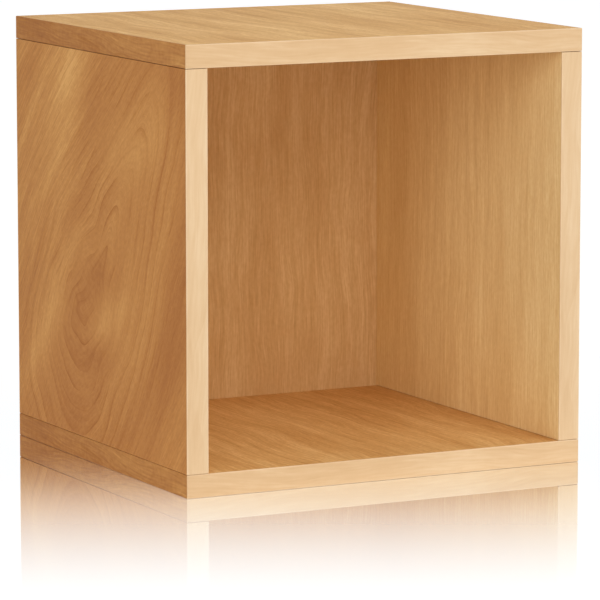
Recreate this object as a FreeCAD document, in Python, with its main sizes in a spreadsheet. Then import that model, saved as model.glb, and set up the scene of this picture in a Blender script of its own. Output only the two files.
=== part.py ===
import FreeCAD, Part
import os
import re
import Sketcher
from FreeCAD import Placement, Rotation, Vector

# Open-fronted storage cube of wood-grain boards.
# The top and bottom boards run over the ends of the two side boards. Each corner is pegged with fluted
# dowels and held by thin adhesive strips, so no fastener shows. A thin back slides in grooves, and every
# board edge that shows carries an edge band.
# Millimetres, +Z up. The open front faces -Y, and the origin is the middle of the footprint on the floor.

SIZES = {
    "cube_width": 381.0,
    "cube_depth": 350.0,
    "cube_height": 381.0,
    "board_thickness": 20.0,
    "band_thickness": 1.0,
    "band_corner_radius": 0.6,
    "joint_gap": 0.4,
    "dowel_diameter": 8.0,
    "dowel_length": 30.0,
    "dowel_chamfer": 1.0,
    "dowel_play": 0.1,
    "dowel_end_play": 1.0,
    "dowel_count": 3,
    "dowel_front_setback": 50.0,
    "dowel_rear_setback": 50.0,
    "flute_count": 8,
    "flute_width": 0.9,
    "flute_depth": 0.4,
    "bore_skin": 8.0,
    "strip_side_margin": 4.0,
    "strip_dowel_gap": 8.0,
    "back_thickness": 3.0,
    "back_inset": 10.0,
    "groove_depth": 6.0,
    "groove_play": 0.15,
    "back_edge_play": 1.0,
}

# The boards inside their edge bands, and the room that they enclose.
BOARD_WIDTH = "(cube_width - 2 * band_thickness)"
BOARD_DEPTH = "(cube_depth - 2 * band_thickness)"
INNER_WIDTH = "(cube_width - 2 * board_thickness)"
INNER_HEIGHT = "(cube_height - 2 * board_thickness)"
SIDE_HEIGHT = "(cube_height - 2 * board_thickness - 2 * joint_gap)"
SIDE_CENTRE = "(cube_width / 2 - board_thickness / 2)"
BOARD_FRONT = "(band_thickness - cube_depth / 2)"

# The dowel row of one corner, measured along the depth from the front edge of a board.
FIRST_DOWEL = "(dowel_front_setback - band_thickness)"
DOWEL_PITCH = "((cube_depth - dowel_front_setback - dowel_rear_setback) / (dowel_count - 1))"
BORE_DIAMETER = "(dowel_diameter + 2 * dowel_play)"
FACE_BORE_DEPTH = "(board_thickness - bore_skin)"
DOWEL_IN_FACE = "(board_thickness - bore_skin - dowel_end_play)"
END_BORE_DEPTH = "(dowel_length - board_thickness + bore_skin + 2 * dowel_end_play - joint_gap)"

# The groove that carries the back, measured along the depth from the front edge of a board.
GROOVE_WIDTH = "(back_thickness + 2 * groove_play)"
GROOVE_START = "(cube_depth - band_thickness - back_inset - back_thickness - groove_play)"

# An edge band's rounding stays inside the band.
BAND_ROUNDING = "min(band_corner_radius; 0.9 * band_thickness)"

FLIPPED = Rotation(Vector(0, 1, 0), 180)
UNTURNED = Rotation()

doc = FreeCAD.newDocument("storage_cube")
subparts = []


def fill_sheet():
    """Writes the driving dimensions to the spreadsheet, one named cell each."""
    sheet = doc.addObject("Spreadsheet::Sheet", "sizes")
    for row, (name, value) in enumerate(SIZES.items(), start=1):
        sheet.set(f"A{row}", name)
        sheet.set(f"B{row}", str(value))
        sheet.setAlias(f"B{row}", name)
    doc.recompute()


def bind(target, path, formula):
    """Ties a property to a formula written in the sheet's names."""
    linked = re.sub(r"[a-z_]+", lambda word: f"sizes.{word[0]}" if word[0] in SIZES else word[0], formula)
    target.setExpression(path, linked)


def new_body(name):
    body = doc.addObject("PartDesign::Body", name)
    body.Label = name
    body.AllowCompound = True
    subparts.append(body)
    return body


def place(body, x, y, z, rotation=UNTURNED):
    """Turns a body, then ties its place in the cube to the sheet."""
    body.Placement = Placement(Vector(), rotation)
    for axis, formula in zip("xyz", (x, y, z)):
        bind(body, f"Placement.Base.{axis}", formula)


def datum(body, role):
    return next(feature for feature in body.Origin.OriginFeatures if feature.Role == role)


def new_sketch(body, name, role="XY_Plane", height="0"):
    sketch = body.newObject("Sketcher::SketchObject", name)
    sketch.AttachmentSupport = [(datum(body, role), "")]
    sketch.MapMode = "FlatFace"
    bind(sketch, "AttachmentOffset.Base.z", height)
    return sketch


def dimension(sketch, name, formula, *constraint):
    """Adds a named dimension to a sketch and ties it to the sheet."""
    index = sketch.addConstraint(Sketcher.Constraint(*constraint, 1.0))
    sketch.renameConstraint(index, name)
    bind(sketch, f"Constraints.{name}", formula)


def outline(sketch, points):
    """Closes a loop of straight lines through rough points and returns the first line's index."""
    first = sketch.GeometryCount
    for start, end in zip(points, points[1:] + points[:1]):
        sketch.addGeometry(Part.LineSegment(Vector(*start), Vector(*end)), False)
    for line in range(len(points)):
        following = (line + 1) % len(points)
        sketch.addConstraint(Sketcher.Constraint("Coincident", first + line, 2, first + following, 1))
    return first


def rectangle(sketch, width, length, left=None, start=None):
    """A rectangle of width by length. It is centred on the upright axis unless left is given, and starts
    on the level axis unless start is given."""
    base = outline(sketch, [(-9, 1), (9, 1), (9, 20), (-9, 20)])
    sketch.addConstraint(Sketcher.Constraint("Vertical", base + 1))
    sketch.addConstraint(Sketcher.Constraint("Horizontal", base + 2))
    sketch.addConstraint(Sketcher.Constraint("Vertical", base + 3))
    dimension(sketch, "width", width, "DistanceX", base, 1, base, 2)
    dimension(sketch, "length", length, "DistanceY", base + 1, 1, base + 1, 2)
    if left is None:
        sketch.addConstraint(Sketcher.Constraint("Symmetric", base, 1, base, 2, -2))
    else:
        sketch.addConstraint(Sketcher.Constraint("Horizontal", base))
        dimension(sketch, "left", left, "DistanceX", -1, 1, base, 1)
    if start is None:
        sketch.addConstraint(Sketcher.Constraint("PointOnObject", base, 1, -1))
    else:
        dimension(sketch, "start", start, "DistanceY", -1, 1, base, 1)


def built(body, feature):
    """Makes a feature the body's latest one, rebuilds it and returns it."""
    body.Tip = feature
    doc.recompute()
    return feature


def pad(body, sketch, length):
    feature = body.newObject("PartDesign::Pad", f"{sketch.Name}_pad")
    feature.Profile = sketch
    bind(feature, "Length", length)
    return built(body, feature)


def pocket(body, sketch, depth, upward):
    """Cuts a sketch into the body, upward or downward from the sketch's plane, and sees that it cut."""
    before = body.Shape.Volume
    feature = body.newObject("PartDesign::Pocket", f"{sketch.Name}_pocket")
    feature.Profile = sketch
    feature.Reversed = upward
    bind(feature, "Length", depth)
    built(body, feature)
    if body.Shape.Volume >= before:
        raise ValueError(f"{sketch.Name} cuts nothing from {body.Label}")
    return feature


def repeat_at_pitch(body, features, count):
    """Repeats features along the depth at the dowels' pitch, or the whole body where none are given."""
    pattern = body.newObject("PartDesign::LinearPattern", f"{body.Name}_row")
    pattern.TransformMode = "Features" if features else "Whole shape"
    pattern.Originals = features
    pattern.Direction = (datum(body, "Y_Axis"), [""])
    pattern.Mode = "Spacing"
    bind(pattern, "Offset", DOWEL_PITCH)
    bind(pattern, "Occurrences", count)
    return built(body, pattern)


def bore_row(body, sketch, depth, upward):
    """Drills the first bores of a dowel row and repeats them along the depth."""
    bores = pocket(body, sketch, depth, upward)
    repeat_at_pitch(body, [bores], "dowel_count")


def bore_circle(sketch, name):
    """One dowel bore in line with the first dowel of a row, still free across the board."""
    circle = sketch.addGeometry(Part.Circle(Vector(0, 10, 0), Vector(0, 0, 1), 4), False)
    dimension(sketch, f"{name}_diameter", BORE_DIAMETER, "Diameter", circle)
    dimension(sketch, f"{name}_setback", FIRST_DOWEL, "DistanceY", -1, 1, circle, 3)
    return circle


def level_panel(name, inner_face_height, rotation):
    """Top or bottom board. Its inner face is the sketch plane: a bore row at each end, and a stopped groove
    for the back."""
    body = new_body(name)
    board = new_sketch(body, f"{name}_board")
    rectangle(board, BOARD_WIDTH, BOARD_DEPTH)
    pad(body, board, "board_thickness")

    groove = new_sketch(body, f"{name}_groove")
    rectangle(groove, f"{INNER_WIDTH} + 2 * groove_depth", GROOVE_WIDTH, start=GROOVE_START)
    pocket(body, groove, "groove_depth", upward=True)

    bores = new_sketch(body, f"{name}_bores")
    left_bore = bore_circle(bores, "left")
    right_bore = bore_circle(bores, "right")
    dimension(bores, "left_reach", f"-{SIDE_CENTRE}", "DistanceX", -1, 1, left_bore, 3)
    dimension(bores, "right_reach", SIDE_CENTRE, "DistanceX", -1, 1, right_bore, 3)
    bore_row(body, bores, FACE_BORE_DEPTH, upward=True)

    place(body, "0", BOARD_FRONT, inner_face_height, rotation)


def side_panel(name, x, z, rotation):
    """Side board, standing on its lower end with its inner face towards +X: a bore row in each end, and a
    groove for the back all the way up."""
    body = new_body(name)
    board = new_sketch(body, f"{name}_board")
    rectangle(board, "board_thickness", BOARD_DEPTH)
    pad(body, board, SIDE_HEIGHT)

    groove = new_sketch(body, f"{name}_groove")
    rectangle(groove, "groove_depth", GROOVE_WIDTH,
              left="board_thickness / 2 - groove_depth", start=GROOVE_START)
    pocket(body, groove, SIDE_HEIGHT, upward=True)

    for end, height, upward in (("lower", "0", True), ("upper", SIDE_HEIGHT, False)):
        bores = new_sketch(body, f"{name}_{end}_bores", height=height)
        bore = bore_circle(bores, end)
        bores.addConstraint(Sketcher.Constraint("PointOnObject", bore, 3, -2))
        bore_row(body, bores, END_BORE_DEPTH, upward)

    place(body, x, BOARD_FRONT, z, rotation)


def back_panel():
    """Thin back. It stands on the floor of the bottom groove, with play at its other three edges."""
    body = new_body("back_panel")
    sheet = new_sketch(body, "back_sheet")
    rectangle(sheet, f"{INNER_WIDTH} + 2 * groove_depth - 2 * back_edge_play", "back_thickness")
    pad(body, sheet, f"{INNER_HEIGHT} + 2 * groove_depth - back_edge_play")
    place(body, "0", "cube_depth / 2 - back_inset - back_thickness", "board_thickness - groove_depth")


def edge_band(name, length, x, y, z, turn=0, upright=False, open_ends=False):
    """Strip glued to a board's edge, with its outer edges rounded. It lies along X, or stands if it is
    upright, with its outer face towards -Y, and is then turned about Z. Open ends are rounded too."""
    body = new_body(name)
    strip = new_sketch(body, f"{name}_strip")
    rectangle(strip, "board_thickness" if upright else length, "band_thickness")
    band = pad(body, strip, length if upright else "board_thickness")

    outer_edges = []
    for index, edge in enumerate(band.Shape.Edges, start=1):
        middle = edge.BoundBox.Center
        along = edge.tangentAt(edge.FirstParameter)
        on_outer_face = abs(middle.y) < 1e-6
        runs_through = abs(along.y) > 0.5
        runs_lengthwise = abs(along.z if upright else along.x) > 0.5
        if (on_outer_face and (open_ends or runs_lengthwise)) or (open_ends and runs_through):
            outer_edges.append(f"Edge{index}")
    rounding = body.newObject("PartDesign::Fillet", f"{name}_rounding")
    rounding.Base = (band, outer_edges)
    bind(rounding, "Radius", BAND_ROUNDING)
    built(body, rounding)

    place(body, x, y, z, Rotation(Vector(0, 0, 1), turn))


def dowel_row(name, x, z):
    """The fluted beech dowels of one corner, each with chamfered ends."""
    body = new_body(name)
    profile = new_sketch(body, f"{name}_profile", "XZ_Plane")
    base = outline(profile, [(0, 0), (3, 0), (4, 1), (4, 29), (3, 30), (0, 30)])
    for line in (base, base + 4):
        profile.addConstraint(Sketcher.Constraint("Horizontal", line))
    for line in (base + 2, base + 5):
        profile.addConstraint(Sketcher.Constraint("Vertical", line))
    profile.addConstraint(Sketcher.Constraint("Coincident", base, 1, -1, 1))
    dimension(profile, "radius", "dowel_diameter / 2", "DistanceX", -1, 1, base + 2, 1)
    dimension(profile, "length", "dowel_length", "DistanceY", base + 5, 2, base + 5, 1)
    for end, rim, flat_end in (("lower", base + 1, 1), ("upper", base + 3, 2)):
        dimension(profile, f"{end}_flat", "dowel_diameter / 2 - dowel_chamfer",
                  "DistanceX", -1, 1, rim, flat_end)
        dimension(profile, f"{end}_chamfer", "dowel_chamfer", "DistanceY", rim, 1, rim, 2)
    turned = body.newObject("PartDesign::Revolution", f"{name}_turned")
    turned.Profile = profile
    turned.ReferenceAxis = (profile, ["V_Axis"])
    turned.Angle = 360
    built(body, turned)

    notch = new_sketch(body, f"{name}_notch")
    tip = outline(notch, [(3.6, 0), (4.4, -0.9), (4.4, 0.9)])
    notch.addConstraint(Sketcher.Constraint("PointOnObject", tip, 1, -1))
    notch.addConstraint(Sketcher.Constraint("Symmetric", tip, 2, tip + 1, 2, -1))
    dimension(notch, "root", "dowel_diameter / 2 - flute_depth", "DistanceX", -1, 1, tip, 1)
    dimension(notch, "reach", "2 * flute_depth", "DistanceX", tip, 1, tip, 2)
    dimension(notch, "mouth", "2 * flute_width", "DistanceY", tip + 1, 1, tip + 1, 2)
    flute = pocket(body, notch, "dowel_length", upward=True)
    flutes = body.newObject("PartDesign::PolarPattern", f"{name}_flutes")
    flutes.Originals = [flute]
    flutes.Axis = (datum(body, "Z_Axis"), [""])
    flutes.Angle = 360
    bind(flutes, "Occurrences", "flute_count")
    built(body, flutes)

    repeat_at_pitch(body, [], "dowel_count")
    place(body, x, "dowel_front_setback - cube_depth / 2", z)


def strip_row(name, x, z):
    """The adhesive strips of one corner, one between each two dowels, as thick as the joint's gap."""
    body = new_body(name)
    strip = new_sketch(body, f"{name}_strip")
    rectangle(strip, "board_thickness - 2 * strip_side_margin",
              f"{DOWEL_PITCH} - dowel_diameter - 2 * strip_dowel_gap",
              start="dowel_diameter / 2 + strip_dowel_gap")
    strips = pad(body, strip, "joint_gap")
    repeat_at_pitch(body, [strips], "dowel_count - 1")
    place(body, x, "dowel_front_setback - cube_depth / 2", z)


def build_boards():
    level_panel("top_panel", "cube_height - board_thickness", UNTURNED)
    level_panel("bottom_panel", "board_thickness", FLIPPED)
    side_panel("left_side_panel", f"-{SIDE_CENTRE}", "board_thickness + joint_gap", UNTURNED)
    side_panel("right_side_panel", SIDE_CENTRE, "cube_height - board_thickness - joint_gap", FLIPPED)
    back_panel()


def build_edge_bands():
    front = "-cube_depth / 2"
    rear = "cube_depth / 2"
    left = "-cube_width / 2"
    right = "cube_width / 2"
    for level, z in (("top", "cube_height - board_thickness"), ("bottom", "0")):
        edge_band(f"{level}_front_edge_band", "cube_width", "0", front, z, open_ends=True)
        edge_band(f"{level}_rear_edge_band", "cube_width", "0", rear, z, turn=180, open_ends=True)
        edge_band(f"{level}_left_end_band", BOARD_DEPTH, left, "0", z, turn=-90)
        edge_band(f"{level}_right_end_band", BOARD_DEPTH, right, "0", z, turn=90)
    side_foot = "board_thickness + joint_gap"
    for side, x in (("left", f"-{SIDE_CENTRE}"), ("right", SIDE_CENTRE)):
        edge_band(f"{side}_front_edge_band", SIDE_HEIGHT, x, front, side_foot, upright=True)
        edge_band(f"{side}_rear_edge_band", SIDE_HEIGHT, x, rear, side_foot, turn=180, upright=True)


def build_corners():
    top_dowel = f"cube_height - board_thickness + {DOWEL_IN_FACE} - dowel_length"
    bottom_dowel = f"board_thickness - {DOWEL_IN_FACE}"
    top_strip = "cube_height - board_thickness - joint_gap"
    for side, x in (("left", f"-{SIDE_CENTRE}"), ("right", SIDE_CENTRE)):
        dowel_row(f"top_{side}_dowels", x, top_dowel)
        dowel_row(f"bottom_{side}_dowels", x, bottom_dowel)
        strip_row(f"top_{side}_adhesive_strips", x, top_strip)
        strip_row(f"bottom_{side}_adhesive_strips", x, "board_thickness")


def check_model():
    """Stops before anything is written if an object failed or a sub-part isn't a sound solid."""
    doc.recompute()
    for item in doc.Objects:
        if "Invalid" in item.State or "Error" in item.State:
            raise ValueError(f"{item.Label} failed to build: {item.State}")
    for body in subparts:
        if body.Shape.isNull() or not body.Shape.isValid() or not body.Shape.Solids:
            raise ValueError(f"{body.Label} is not a sound solid")


def export_subparts():
    os.makedirs("parts", exist_ok=True)
    for body in subparts:
        body.Shape.exportStep(f"parts/{body.Label}.step")
        print(f"{body.Label}: {len(body.Shape.Solids)} solids, {body.Shape.Volume:.1f} mm3")


fill_sheet()
build_boards()
build_edge_bands()
build_corners()
check_model()
export_subparts()
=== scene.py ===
import math

import bpy
from mathutils import Color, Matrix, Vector


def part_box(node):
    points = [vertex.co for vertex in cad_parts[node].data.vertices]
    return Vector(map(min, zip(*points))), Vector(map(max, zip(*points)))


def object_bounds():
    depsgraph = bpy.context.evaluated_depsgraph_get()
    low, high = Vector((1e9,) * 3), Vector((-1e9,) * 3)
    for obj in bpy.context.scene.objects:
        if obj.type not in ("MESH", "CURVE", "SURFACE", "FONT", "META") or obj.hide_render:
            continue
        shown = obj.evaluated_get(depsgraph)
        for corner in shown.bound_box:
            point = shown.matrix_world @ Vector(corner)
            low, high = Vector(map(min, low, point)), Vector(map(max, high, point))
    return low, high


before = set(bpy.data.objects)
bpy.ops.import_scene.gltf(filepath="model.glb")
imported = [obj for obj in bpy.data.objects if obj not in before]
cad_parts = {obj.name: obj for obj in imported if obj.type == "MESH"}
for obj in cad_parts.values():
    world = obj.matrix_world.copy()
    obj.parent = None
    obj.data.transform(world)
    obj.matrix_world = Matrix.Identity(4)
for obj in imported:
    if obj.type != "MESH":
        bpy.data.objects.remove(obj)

cad_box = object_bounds()


# Side boards
# Particle board under a printed wood-grain foil with a satin lacquer, standing between the top and bottom
# boards on hidden dowels. Outside, each has a flat-sawn figure that leans towards the open front, and the
# left one shows the figure's eye; its brown is partly painted shade. Inside, the grain stands upright and
# the print is paler, partly from painted light in the shaded inside.

class Value:
    """A shader socket to calculate with: each operator adds a Math node to the finish that it is in."""

    def __init__(self, finish, output):
        self.finish = finish
        self.output = output

    def math(self, operation, *others):
        operands = dict(enumerate((self, *others)))
        return self.finish.node("ShaderNodeMath", {"operation": operation}, operands)

    def __add__(self, other):
        return self.math("ADD", other)

    def __sub__(self, other):
        return self.math("SUBTRACT", other)

    def __rsub__(self, other):
        return self.finish.node("ShaderNodeMath", {"operation": "SUBTRACT"}, {0: other, 1: self})

    def __mul__(self, other):
        return self.math("MULTIPLY", other)

    def __pow__(self, other):
        return self.math("POWER", other)

    def __abs__(self):
        return self.math("ABSOLUTE")

    __radd__ = __add__
    __rmul__ = __mul__

    def positive(self):
        """The value where it is above 0, and 0 elsewhere."""
        return self.math("MAXIMUM", 0.0)

    def clamped(self):
        """The value, kept between 0 and 1."""
        return self.positive().math("MINIMUM", 1.0)


NOISE_DETAIL = 1.0
NOISE_MIDDLE = 0.5


class Finish:
    """The nodes of a material or of the world, put together one by one."""

    def __init__(self, owner):
        self.owner = owner
        owner.use_nodes = True
        self.tree = owner.node_tree
        self.tree.nodes.clear()

    def node(self, kind, settings=None, sockets=None, output=0):
        """Adds a node with its settings, then sets or links its sockets, and returns one output."""
        added = self.tree.nodes.new(kind)
        for name, setting in (settings or {}).items():
            if name == "stops":
                self.set_stops(added.color_ramp, setting)
            else:
                setattr(added, name, setting)
        for key, value in (sockets or {}).items():
            if isinstance(value, Value):
                self.tree.links.new(value.output, added.inputs[key])
            else:
                added.inputs[key].default_value = value
        return Value(self, added.outputs[output]) if added.outputs else None

    def set_stops(self, ramp, stops):
        """Gives a colour ramp one element for each stop, a position with its colour."""
        while len(ramp.elements) < len(stops):
            ramp.elements.new(1.0)
        for element, (position, colour) in zip(ramp.elements, stops):
            element.position = position
            element.color = (*colour, 1.0)

    def noise(self, across, along, layer, cells):
        """Soft noise around 0, with its cells per metre across and along. Another layer is other noise."""
        place = self.node("ShaderNodeCombineXYZ", None,
                          {0: across * cells[0], 1: along * cells[1], 2: layer})
        return self.node("ShaderNodeTexNoise", {"noise_dimensions": "3D"},
                         {"Vector": place, "Scale": 1.0, "Detail": NOISE_DETAIL}, "Fac") - NOISE_MIDDLE

    def place(self, axis):
        """Where a point is along X, Y or Z, in metres."""
        point = self.node("ShaderNodeTexCoord", output="Object")
        return self.node("ShaderNodeSeparateXYZ", None, {0: point}, axis)

    def mix(self, mask, colour, other):
        """The first colour where the mask is 0, and the other one where it is 1. Of a Mix node's sockets,
        inputs 6 and 7 and output 2 are the colours."""
        return self.node("ShaderNodeMix", {"data_type": "RGBA"}, {0: mask, 6: colour, 7: other}, 2)

    def surface(self, shader, kind="ShaderNodeOutputMaterial"):
        self.node(kind, None, {"Surface": shader})

    def cover(self, *nodes):
        """Puts the finish on CAD nodes in place of the plain colour that they came with."""
        for name in nodes:
            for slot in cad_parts[name].material_slots:
                slot.material = self.owner


def new_finish(name):
    return Finish(bpy.data.materials.new(name))


def paint(red, green, blue):
    """A colour written as a screen shows it, 0 to 255, in the linear values that a shader takes."""
    shares = [channel / 255 for channel in (red, green, blue)]
    return Color(shares).from_srgb_to_scene_linear()


TONE_POSITIONS = (0.0, 0.25, 0.5, 0.75, 1.0)
MIDDLE_TONE = 0.5
TONE_REACH = 1.2
TONE_SWING = (0.61, 1.0, 1.5)


def print_colour(finish, tone, middle):
    """The print's colour at a tone from 0, dark, to 1, pale. Blue swings most about the middle colour and
    red least, so paler wood is creamier and darker wood redder."""
    stops = []
    for position in TONE_POSITIONS:
        swing = (position - MIDDLE_TONE) * TONE_REACH
        colour = [share * math.exp(swing * part) for share, part in zip(middle, TONE_SWING)]
        stops.append((position, colour))
    return finish.node("ShaderNodeValToRGB", {"stops": stops}, {0: tone}, "Color")


def grain_place(finish, start, along, across):
    """Distances in metres from a start, such as a figure's eye: along the grain, across it and into it."""
    along = Vector(along).normalized()
    across = Vector(across).normalized()
    point = finish.node("ShaderNodeTexCoord", output="Object")
    offset = finish.node("ShaderNodeVectorMath", {"operation": "SUBTRACT"}, {0: point, 1: start})
    return [finish.node("ShaderNodeVectorMath", {"operation": "DOT_PRODUCT"}, {0: offset, 1: axis}, "Value")
            for axis in (along, across, along.cross(across))]


LAYERS_PER_METRE = 40.0
DRIFT_CELLS = (9.0, 6.0)
RIPPLE_CELLS = (30.0, 13.0)
RIPPLE_LAYER = 5.0
RIPPLE_SHARE = 0.3


def wander(finish, along, across, depth, sway, ripple_share=RIPPLE_SHARE):
    """Bends the grain's lines gently to and fro, with smaller ripples on the way."""
    layer = depth * LAYERS_PER_METRE
    drift = finish.noise(across, along, layer, DRIFT_CELLS)
    ripple = finish.noise(across, along, layer + RIPPLE_LAYER, RIPPLE_CELLS)
    return across + drift * sway + ripple * (sway * ripple_share)


# Layers of the print's tone: cells per metre across and along, and the layer's share of the tone
RING_LAYERS = (((22.0, 5.0), 0.34), ((70.0, 6.0), 0.28), ((300.0, 7.0), 0.19))
FLECK_LAYERS = (((450.0, 200.0), 0.25),)
STREAK_LAYERS = (((650.0, 12.0), 0.20), ((1300.0, 40.0), 0.40))
FIBRE_LAYERS = (((280.0, 3.0), 0.10), ((600.0, 10.0), 0.21), ((1100.0, 40.0), 0.50))
LAYER_TILT = 4.0

# Growth lines, which fade in and out
LINES_PER_METRE = 50.0
LINE_CELLS = (30.0, 9.0)
LINE_LAYER = 61.0
LINE_SHARPNESS = 6.0
LINE_TONE = 0.1
FADING_CELLS = (16.0, 16.0)
FADING_LAYER = 47.0
FADING_STEEPNESS = 6.0
FADING_MIDDLE = 0.4

# Pores, relief and satin lacquer
PORE_CELLS = (2400.0, 170.0)
PORE_LAYERS = 9.0
PORE_THRESHOLD = 0.12
FIBRE_HEIGHT = 0.6
LINE_DEPTH = 0.15
PORE_DEPTH = 3.0
RELIEF_STRENGTH = 0.12
RELIEF_DISTANCE = 0.0004
SATIN_ROUGHNESS = 0.5
FIBRE_ROUGHNESS = 0.16
LINE_ROUGHNESS = 0.05
PORE_ROUGHNESS = 0.4
SATIN_LUSTRE = 0.1


def printed_wood(finish, fibre, ring, middle, contrast, figure=0.0, line_tone=LINE_TONE, fibre_share=1.0,
                 fleck_share=1.0, lustre=SATIN_LUSTRE, overprints=()):
    """The printed foil under its satin lacquer. Broad layers of its tone follow the growth rings, and the
    flecks and fine layers follow the fibres. Where the fibres are faint, patches of fine streaks follow the
    rings too. Each overprint has another middle colour and the mask of the faces that it covers."""
    along, across, depth = fibre
    layer = depth * LAYERS_PER_METRE + across * LAYER_TILT
    patches = finish.noise(across, along, layer + FADING_LAYER, FADING_CELLS)
    fading = (patches * FADING_STEEPNESS + FADING_MIDDLE).clamped()
    swing = 0.0
    for place, layers, clearness in ((ring, RING_LAYERS, 1.0),
                                     (across, FLECK_LAYERS, fleck_share),
                                     (ring, STREAK_LAYERS, (1.0 - fibre_share) * fading),
                                     (across, FIBRE_LAYERS, fibre_share)):
        for cells, share in layers:
            grain = finish.noise(place, along, layer + cells[0], cells) * clearness
            swing = swing + grain * share
    finest_fibres = grain
    uneven = finish.noise(ring, along, layer + LINE_LAYER, LINE_CELLS)
    growth = (ring * LINES_PER_METRE + uneven).math("FRACT")
    lines = growth ** LINE_SHARPNESS * fading
    pores = (finish.noise(across, along, layer * PORE_LAYERS, PORE_CELLS) - PORE_THRESHOLD).positive()

    tone = MIDDLE_TONE + (swing - lines * line_tone + figure) * contrast
    colour = print_colour(finish, tone, middle)
    for other, mask in overprints:
        colour = finish.mix(mask, colour, print_colour(finish, tone, other))
    relief = finest_fibres * FIBRE_HEIGHT - lines * LINE_DEPTH - pores * PORE_DEPTH
    bump = finish.node("ShaderNodeBump", None,
                       {"Strength": RELIEF_STRENGTH, "Distance": RELIEF_DISTANCE, "Height": relief})
    roughness = (SATIN_ROUGHNESS + finest_fibres * FIBRE_ROUGHNESS + lines * LINE_ROUGHNESS
                 + pores * PORE_ROUGHNESS)
    finish.surface(finish.node("ShaderNodeBsdfPrincipled", None,
                               {"Base Color": colour, "Roughness": roughness, "Specular IOR Level": lustre,
                                "Normal": bump}))


FIGURE_FLANKS = ((-79, 1.9), (58, 0.75), (88, 1.4), (160, 0.75), (215, 1.2))
FLANK_ROUNDING = 2.5


def flat_sawn(along, across):
    """Ring distance of a flat-sawn figure. Its rings have five flanks about the eye, each with the bearing
    that it faces, in degrees from the lean, and its steepness, and the corners between them are rounded."""
    reaches = []
    for bearing, steepness in FIGURE_FLANKS:
        turn = math.radians(bearing)
        reach = along * (math.cos(turn) * steepness) + across * (math.sin(turn) * steepness)
        reaches.append(reach.positive() ** FLANK_ROUNDING)
    return sum(reaches) ** (1 / FLANK_ROUNDING)


STROKE_DEPTH = 1.0


def soft_strokes(finish, face, strokes):
    """Soft strokes on a face, added up. Each has its place from front to back and above the floor, its half
    length and half width, its lean from upright towards the front in degrees, and its strength."""
    point = finish.node("ShaderNodeTexCoord", output="Object")
    total = 0.0
    for y, z, half_length, half_width, lean, strength in strokes:
        place = finish.node("ShaderNodeMapping", {"vector_type": "TEXTURE"},
                            {"Vector": point, "Location": (face, y, z),
                             "Rotation": (math.radians(lean), 0, 0),
                             "Scale": (STROKE_DEPTH, half_width, half_length)})
        stroke = finish.node("ShaderNodeTexGradient", {"gradient_type": "QUADRATIC_SPHERE"},
                             {"Vector": place}, "Fac")
        total = total + stroke * strength
    return total


def leaning_place(finish, eye, lean):
    """Distances from the eye for a grain that leans from upright towards the open front."""
    along = (0, -math.sin(lean), math.cos(lean))
    across = (0, -math.cos(lean), -math.sin(lean))
    return grain_place(finish, eye, along, across)


FIBRE_LEAN = math.radians(44)
FIBRE_SWAY = 0.02
FIBRE_RIPPLES = 0.1
KNOT_SIZE = 0.070
KNOT_SOFTNESS = 0.075


def parted_fibres(finish, eye):
    """Places along and across the fibres, which part round a knot at the eye like water round a stone."""
    along, across, depth = leaning_place(finish, eye, FIBRE_LEAN)
    parting = (along * along + across * across + KNOT_SOFTNESS ** 2) ** -1.0 * KNOT_SIZE ** 2
    swaying = wander(finish, along, across, depth, FIBRE_SWAY, FIBRE_RIPPLES)
    return along, swaying * (1.0 - parting), depth


def choose(mask, first, other):
    """The first value where the mask is 0, and the other one where it is 1."""
    return first + (other - first) * mask


# The outer faces' brown is partly the print's hue and partly painted shade on faces turned from the lit
# front.
SHADED_SIDE_COLOUR = paint(195, 132, 66)
FIGURE_LEAN = math.radians(34)
FIGURE_SWAY = 0.036
KNOT_REACH = 0.22
KNOT_TURMOIL = 0.042
LENGTHWISE_CELLS = (24.0, 19.0)
LENGTHWISE_LAYER = 11.0
CROSSWISE_CELLS = (20.0, 17.0)
CROSSWISE_LAYER = 19.0
LEAST_FIBRE = 0.25
# The inner faces' paler colour: partly their print, partly painted light that brightens the shaded inside.
LIT_INNER_COLOUR = paint(241, 207, 147)
INNER_SWAY = 0.02
INNER_CONTRAST = 0.7


def side_board(name, eye, contrast, flames, lines, calm):
    """A side board with the figured brown print outside, its brown partly painted shade, and a paler,
    straight one on its inner face, paler partly from painted light. Pale and dark flames shade the figure,
    and some paint light and shade onto it. Other strokes say where its lines are clear and its fibres
    faint."""
    finish = new_finish(f"{name}_print")
    face, eye_y, eye_z = eye
    along, across, depth = leaning_place(finish, eye, FIGURE_LEAN)
    across = wander(finish, along, across, depth, FIGURE_SWAY)
    layer = depth * LAYERS_PER_METRE
    knot = soft_strokes(finish, face, [(eye_y, eye_z, KNOT_REACH, KNOT_REACH, 0, KNOT_TURMOIL)])
    along = along + finish.noise(across, along, layer + LENGTHWISE_LAYER, LENGTHWISE_CELLS) * knot
    across = across + finish.noise(across, along, layer + CROSSWISE_LAYER, CROSSWISE_CELLS) * knot
    rise, breadth, inset = grain_place(finish, eye, (0, 0, 1), (0, 1, 0))
    breadth = wander(finish, rise, breadth, inset, INNER_SWAY)

    low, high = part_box(name)
    inside = abs(finish.place("X")).math("LESS_THAN", abs(low[0] + high[0]) / 2)
    outside = 1.0 - inside
    fibre = [choose(inside, outer, inner)
             for outer, inner in zip(parted_fibres(finish, eye), (rise, breadth, inset))]
    faintness = soft_strokes(finish, face, calm) * outside
    printed_wood(finish, fibre, choose(inside, flat_sawn(along, across), breadth), SHADED_SIDE_COLOUR,
                 choose(inside, contrast, INNER_CONTRAST),
                 figure=soft_strokes(finish, face, flames) * outside,
                 line_tone=soft_strokes(finish, face, lines) * outside,
                 fibre_share=(1.0 - faintness).math("MAXIMUM", LEAST_FIBRE),
                 overprints=[(LIT_INNER_COLOUR, inside)])
    finish.cover(name)


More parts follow.
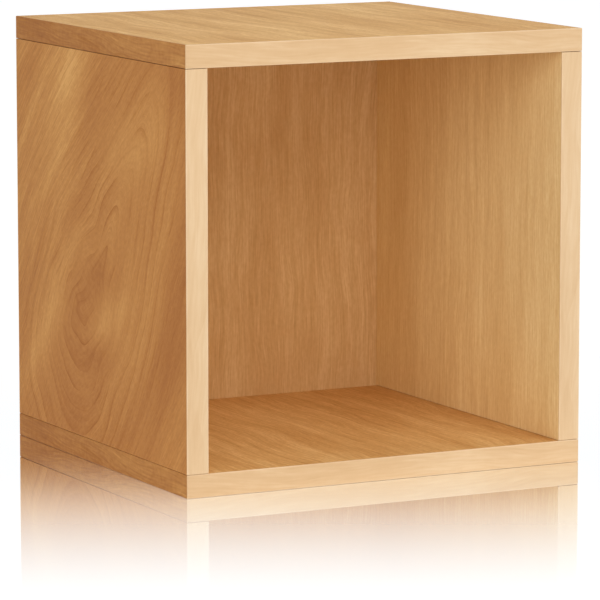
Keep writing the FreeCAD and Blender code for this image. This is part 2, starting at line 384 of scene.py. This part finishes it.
LEFT_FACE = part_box("left_side_panel")[0][0]
LEFT_EYE = (LEFT_FACE, 0.030, 0.136)
LEFT_CONTRAST = 1.2
# Beside the figure, the strongest pale flame high at the back and the dark flames along the bottom and the
# front edge paint light and shade: the board grows paler towards its top back and darker towards its bottom
# front.
LEFT_FLAMES_LIGHT_AND_SHADE = (
    (0.060, 0.340, 0.220, 0.085, 27, 0.43),
    (-0.090, 0.290, 0.170, 0.060, 65, 0.18),
    (-0.048, 0.140, 0.110, 0.065, 20, 0.14),
    (0.165, 0.230, 0.140, 0.060, 20, 0.09),
    (0.080, 0.180, 0.060, 0.060, 20, 0.08),
    (0.000, 0.122, 0.120, 0.030, 62, 0.15),
    (0.115, 0.105, 0.300, 0.040, 43, 0.20),
    (-0.060, 0.225, 0.080, 0.040, 20, 0.05),
    (0.016, 0.305, 0.180, 0.050, 33, -0.19),
    (0.045, 0.140, 0.070, 0.055, 10, -0.20),
    (-0.005, 0.169, 0.036, 0.080, 0, -0.18),
    (0.020, 0.096, 0.036, 0.090, 0, -0.22),
    (0.060, 0.030, 0.110, 0.230, 0, -0.18),
    (-0.170, 0.345, 0.090, 0.080, 20, -0.20),
    (-0.135, 0.105, 0.200, 0.070, 35, -0.19),
    (-0.175, 0.200, 0.180, 0.090, 20, -0.15),
)
LEFT_LINES = (
    (-0.035, 0.195, 0.320, 0.240, 34, 0.55),
    (0.065, 0.065, 0.140, 0.150, 0, 0.60),
)
LEFT_CALM = (
    (-0.070, 0.170, 0.400, 0.260, 20, 1.6),
    (0.070, 0.060, 0.140, 0.150, 0, 0.9),
)
side_board("left_side_panel", LEFT_EYE, LEFT_CONTRAST, LEFT_FLAMES_LIGHT_AND_SHADE, LEFT_LINES, LEFT_CALM)

RIGHT_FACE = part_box("right_side_panel")[1][0]
RIGHT_EYE = (RIGHT_FACE, 0.100, -0.030)
RIGHT_CONTRAST = 1.0
RIGHT_FLAMES = (
    (0.080, 0.130, 0.200, 0.090, 40, 0.20),
    (-0.110, 0.250, 0.180, 0.070, 25, 0.16),
    (0.000, 0.060, 0.120, 0.120, 20, -0.18),
    (-0.020, 0.300, 0.200, 0.060, 40, -0.16),
)
RIGHT_LINES = ((-0.040, 0.180, 0.360, 0.280, 34, 0.45),)
RIGHT_CALM = ((-0.040, 0.180, 0.400, 0.300, 34, 1.4),)
side_board("right_side_panel", RIGHT_EYE, RIGHT_CONTRAST, RIGHT_FLAMES, RIGHT_LINES, RIGHT_CALM)


# Top and bottom boards
# The same board and print, cut so that the grain runs straight from front to back. They run over the ends
# of the sides, so their full width shows, and the bottom one stands flat on the floor.

STRAIGHT_SWAY = 0.03


def straight_wood(finish, nodes, start, axes, middle, contrast, breadth=1.0, **details):
    """Print from a plain stretch of the foil, far from any eye. Places count from its start, along and
    across its two axes, and a larger breadth has broader streaks."""
    along, across, depth = grain_place(finish, start, *axes)
    across = wander(finish, along, across, depth, STRAIGHT_SWAY) * (1 / breadth)
    printed_wood(finish, (along, across, depth), across, middle, contrast, **details)
    finish.cover(*nodes)


LEVEL_AXES = ((0, 1, 0), (1, 0, 0))
LEVEL_COLOUR = paint(227, 177, 112)
LEVEL_CONTRAST = 1.3
LEVEL_BREADTH = 0.75
LEVEL_LUSTRE = 0.015
TOP_START = (-0.52, 0.9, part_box("top_panel")[1][2])
BOTTOM_START = (0.6, -0.8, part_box("bottom_panel")[0][2])
for name, start in (("top_panel", TOP_START), ("bottom_panel", BOTTOM_START)):
    straight_wood(new_finish(f"{name}_print"), [name], start, LEVEL_AXES, LEVEL_COLOUR, LEVEL_CONTRAST,
                  LEVEL_BREADTH, lustre=LEVEL_LUSTRE)


# Back
# A thin fibreboard with the same print, let into grooves in all four boards, so only its middle shows. Its
# grain stands upright, and its colour is written paler than the print: painted light in the shaded inside.

UPRIGHT_AXES = ((0, 0, 1), (1, 0, 0))
# Paler than the print: painted light that brightens the shaded inside of the cube.
LIT_BACK_COLOUR = paint(237, 195, 136)
BACK_CONTRAST = 0.9
BACK_START = (0.35, 0.16, -0.4)
straight_wood(new_finish("back_print"), ["back_panel"], BACK_START, UPRIGHT_AXES, LIT_BACK_COLOUR,
              BACK_CONTRAST)


# Front and rear edge bands
# Strips of pale wood-grain band glued to the front and rear edges of all four boards, with their outer
# edges eased. Their soft grain runs along the strip with a slight lean.

BAND_BREADTH = 2.2
BAND_FIBRES = 0.5
BAND_FLECKS = 0.2
BAND_LEAN = 0.05
BAND_EDGE = 0.0008
EDGE_HIGHLIGHT_LIFT = 0.15


def edge_bands(name, axis, start, axes, colour, contrast):
    """A board's front and rear bands, with a painted highlight: a paler line along their eased edges, where
    they catch the light.
    """
    finish = new_finish(f"{name}_band_print")
    nodes = [f"{name}_front_edge_band", f"{name}_rear_edge_band"]
    low, high = (corner["XYZ".index(axis)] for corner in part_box(nodes[0]))
    off_middle = abs(finish.place(axis) - (low + high) / 2)
    # Painted highlight: the band is paler in a thin line along its eased edges, as if light caught them.
    painted_edge_highlight = off_middle.math("GREATER_THAN", (high - low) / 2 - BAND_EDGE) * EDGE_HIGHLIGHT_LIFT
    straight_wood(finish, nodes, start, axes, colour, contrast, BAND_BREADTH, figure=painted_edge_highlight,
                  fibre_share=BAND_FIBRES, fleck_share=BAND_FLECKS)


FRONT_FACE = cad_box[0][1]
UPRIGHT_BAND_AXES = ((BAND_LEAN, 0, 1), (1, 0, -BAND_LEAN))
UPRIGHT_BAND_COLOUR = paint(233, 199, 156)
UPRIGHT_BAND_CONTRAST = 0.56
LEFT_BAND_START = (-0.43, FRONT_FACE, -0.6)
RIGHT_BAND_START = (-0.07, FRONT_FACE, -0.6)
for side, start in (("left", LEFT_BAND_START), ("right", RIGHT_BAND_START)):
    edge_bands(side, "X", start, UPRIGHT_BAND_AXES, UPRIGHT_BAND_COLOUR, UPRIGHT_BAND_CONTRAST)

LEVEL_BAND_AXES = ((1, 0, -BAND_LEAN), (BAND_LEAN, 0, 1))
LEVEL_BAND_COLOUR = paint(228, 191, 146)
LEVEL_BAND_CONTRAST = 0.7
TOP_BAND_START = (-0.7, FRONT_FACE, 0.571)
BOTTOM_BAND_START = (-0.7, FRONT_FACE, 0.21)
for level, start in (("top", TOP_BAND_START), ("bottom", BOTTOM_BAND_START)):
    edge_bands(level, "Z", start, LEVEL_BAND_AXES, LEVEL_BAND_COLOUR, LEVEL_BAND_CONTRAST)


# End bands
# Strips on the left and right ends of the top and bottom boards, as brown as the side boards, partly from
# their print and partly from painted shade, with the grain along the strip. They are glued on between the
# front and rear bands and grow paler forwards.

END_LEAN = 0.04
END_AXES = ((0, 1, END_LEAN), (0, -END_LEAN, 1))
# Partly the bands' print and partly painted shade, like the side boards' brown.
SHADED_END_COLOUR = paint(180, 118, 56)
END_CONTRAST = 1.4
END_BREADTH = 1.6
END_START_Y = 0.6
END_START_RISE = 0.12

# Place of each pale stroke from front to back, and its half length
PALE_STROKES = ((-0.070, 0.260), (-0.190, 0.180))
PALE_WIDTH = 0.120
PALE_LEAN = 90
PALE_TONE = 0.10
for level in ("top", "bottom"):
    finish = new_finish(f"{level}_end_print")
    nodes = [f"{level}_left_end_band", f"{level}_right_end_band"]
    low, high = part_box(nodes[0])
    height = (low[2] + high[2]) / 2
    strokes = [(place, height, half_length, PALE_WIDTH, PALE_LEAN, PALE_TONE)
               for place, half_length in PALE_STROKES]
    straight_wood(finish, nodes, (0, END_START_Y, height + END_START_RISE), END_AXES, SHADED_END_COLOUR,
                  END_CONTRAST, END_BREADTH, figure=soft_strokes(finish, LEFT_FACE, strokes))


# Dowels and adhesive strips
# Fluted beech dowels locate the boards at each corner, and strips of whitish foam tape between them hold
# the joint. Both are closed in by the boards.

corners = [f"{level}_{side}" for level in ("top", "bottom") for side in ("left", "right")]

DOWEL_COLOUR = paint(222, 188, 142)
DOWEL_CONTRAST = 0.5
DOWEL_START = (0, 0, -0.3)
straight_wood(new_finish("beech_dowel"), [f"{corner}_dowels" for corner in corners], DOWEL_START,
              UPRIGHT_AXES, DOWEL_COLOUR, DOWEL_CONTRAST)

TAPE_CELLS = 900.0
TAPE_TONES = ((0.3, paint(206, 204, 196)), (0.7, paint(232, 231, 226)))
TAPE_ROUGHNESS = 0.55
tape = new_finish("foam_tape")
rise, breadth, depth = grain_place(tape, (0, 0, 0), *UPRIGHT_AXES)
foam = tape.noise(rise, breadth, depth * TAPE_CELLS, (TAPE_CELLS, TAPE_CELLS))
tape_colour = tape.node("ShaderNodeValToRGB", {"stops": TAPE_TONES}, {0: foam + NOISE_MIDDLE}, "Color")
tape.surface(tape.node("ShaderNodeBsdfPrincipled", None,
                       {"Base Color": tape_colour, "Roughness": TAPE_ROUGHNESS}))
tape.cover(*(f"{corner}_adhesive_strips" for corner in corners))


# Floor
# A plain white studio floor, a hair below the cube and no part of it. Its polish mirrors the cube's foot,
# and the mirrored colours fade to white, by way of a warmer tint, away from the cube and towards the front.

FLOOR_SIZE = 60.0
FLOOR_DROP = 0.0001
bpy.ops.object.select_all(action="DESELECT")
bpy.ops.mesh.primitive_plane_add(size=FLOOR_SIZE, location=(0, 0, -FLOOR_DROP))
floor = bpy.context.object
floor.name = "studio_floor"


def seen_rays(finish):
    """1 for what the camera sees, also in a mirror or through glass, and 0 for light on its way."""
    rays = [finish.node("ShaderNodeLightPath", output=name)
            for name in ("Is Camera Ray", "Is Glossy Ray", "Is Transmission Ray")]
    return sum(rays).clamped()


def grey(share):
    return (share, share, share, 1.0)


WHITE = grey(1.0)
VIEW_AZIMUTH = math.radians(-27.33)
POLISH_REACH = 0.74
POLISH_IOR = 1.45
POLISH_STRENGTH = 2.8
MIRROR_ROUGHNESS = 0.01
MIRROR_TINT = (0.68, 0.87, 1.0)
WARMING_RATE = 3.0
BOUNCE_GREY = grey(0.8)
SHADE_GREY = grey(0.3)
WHITE_LIFT = 0.845

polished = new_finish("white_floor")
half_width, half_depth, _ = (cad_box[1] - cad_box[0]) / 2
x = polished.place("X")
y = polished.place("Y")
beyond_x = (abs(x) - half_width).positive()
beyond_y = (abs(y) - half_depth).positive()
away = (beyond_x * beyond_x + beyond_y * beyond_y).math("SQRT")
forward = x * math.sin(VIEW_AZIMUTH) - y * math.cos(VIEW_AZIMUTH)
fade = polished.node("ShaderNodeMapRange", {"interpolation_type": "SMOOTHSTEP"},
                     {"Value": away.math("MAXIMUM", forward), "From Min": 0.0, "From Max": POLISH_REACH,
                      "To Min": 1.0, "To Max": 0.0})
polish = (polished.node("ShaderNodeFresnel", None, {"IOR": POLISH_IOR}) * POLISH_STRENGTH).clamped()
seen = seen_rays(polished)

bounce = polished.node("ShaderNodeBsdfDiffuse", None, {"Color": BOUNCE_GREY})
shade = polished.node("ShaderNodeBsdfDiffuse", None, {"Color": SHADE_GREY})
lift = polished.node("ShaderNodeEmission", None, {"Color": WHITE, "Strength": WHITE_LIFT})
white = polished.node("ShaderNodeAddShader", None, {0: shade, 1: lift})
matt = polished.node("ShaderNodeMixShader", None, {0: seen, 1: bounce, 2: white})

mirror = polished.node("ShaderNodeBsdfGlossy", None, {"Color": WHITE, "Roughness": MIRROR_ROUGHNESS})
tinted = polished.node("ShaderNodeBsdfGlossy", None,
                       {"Color": (*MIRROR_TINT, 1.0), "Roughness": MIRROR_ROUGHNESS})
tint_lift = [1 - share for share in MIRROR_TINT]
warmth = polished.node("ShaderNodeEmission", None, {"Color": (*tint_lift, 1.0)})
warm_mirror = polished.node("ShaderNodeAddShader", None, {0: tinted, 1: warmth})
warm_share = ((1.0 - fade) * WARMING_RATE).clamped() * seen
gloss = polished.node("ShaderNodeMixShader", None, {0: warm_share, 1: mirror, 2: warm_mirror})
polished.surface(polished.node("ShaderNodeMixShader", None, {0: polish * fade, 1: matt, 2: gloss}))
floor.data.materials.append(polished.owner)


# Studio light
# Even white light all round, before a backdrop that the camera and mirrors see as white, with a large soft
# lamp in front of the cube and one on its left.

AMBIENT_STRENGTH = 0.55
BACKDROP_STRENGTH = 1.0
studio = Finish(bpy.data.worlds.new("white_studio"))
bpy.context.scene.world = studio.owner
ambient = studio.node("ShaderNodeBackground", None, {"Color": WHITE, "Strength": AMBIENT_STRENGTH})
backdrop = studio.node("ShaderNodeBackground", None, {"Color": WHITE, "Strength": BACKDROP_STRENGTH})
studio.surface(studio.node("ShaderNodeMixShader", None, {0: seen_rays(studio), 1: ambient, 2: backdrop}),
               "ShaderNodeOutputWorld")

# Name, place, width, height and power in watts
LAMPS = (
    ("front_lamp", (0.9, -2.4, 2.1), 2.4, 1.8, 32.0),
    ("left_lamp", (-2.6, -2.4, 1.1), 2.0, 2.0, 36.0),
)
cube_middle = (cad_box[0] + cad_box[1]) / 2
for name, place, width, height, power in LAMPS:
    bpy.ops.object.light_add(type="AREA", location=place)
    lamp = bpy.context.object
    lamp.name = name
    lamp.data.shape = "RECTANGLE"
    lamp.data.size = width
    lamp.data.size_y = height
    lamp.data.energy = power
    lamp.rotation_euler = (cube_middle - lamp.location).to_track_quat("-Z", "Y").to_euler()


# Camera
# A long lens from the left of the open front and a little above the top, on the side towards which the
# floor's polish fades. It has neither shift nor depth of field, so it serves from any other side too.

VIEW_ELEVATION = math.radians(8.23)
VIEW_DISTANCE = 3.80
LOOK_AT = Vector((0.006, 0.0, 0.133))
LENS = 256.3
SENSOR_WIDTH = 36.0
away_from_cube = Vector((math.sin(VIEW_AZIMUTH) * math.cos(VIEW_ELEVATION),
                         -math.cos(VIEW_AZIMUTH) * math.cos(VIEW_ELEVATION), math.sin(VIEW_ELEVATION)))
bpy.ops.object.camera_add(location=LOOK_AT + away_from_cube * VIEW_DISTANCE)
camera = bpy.context.object
camera.name = "photo_camera"
camera.data.lens = LENS
camera.data.sensor_width = SENSOR_WIDTH
camera.rotation_euler = (-away_from_cube).to_track_quat("-Z", "Y").to_euler()
bpy.context.scene.camera = camera
bpy.context.scene.view_settings.view_transform = "Standard"
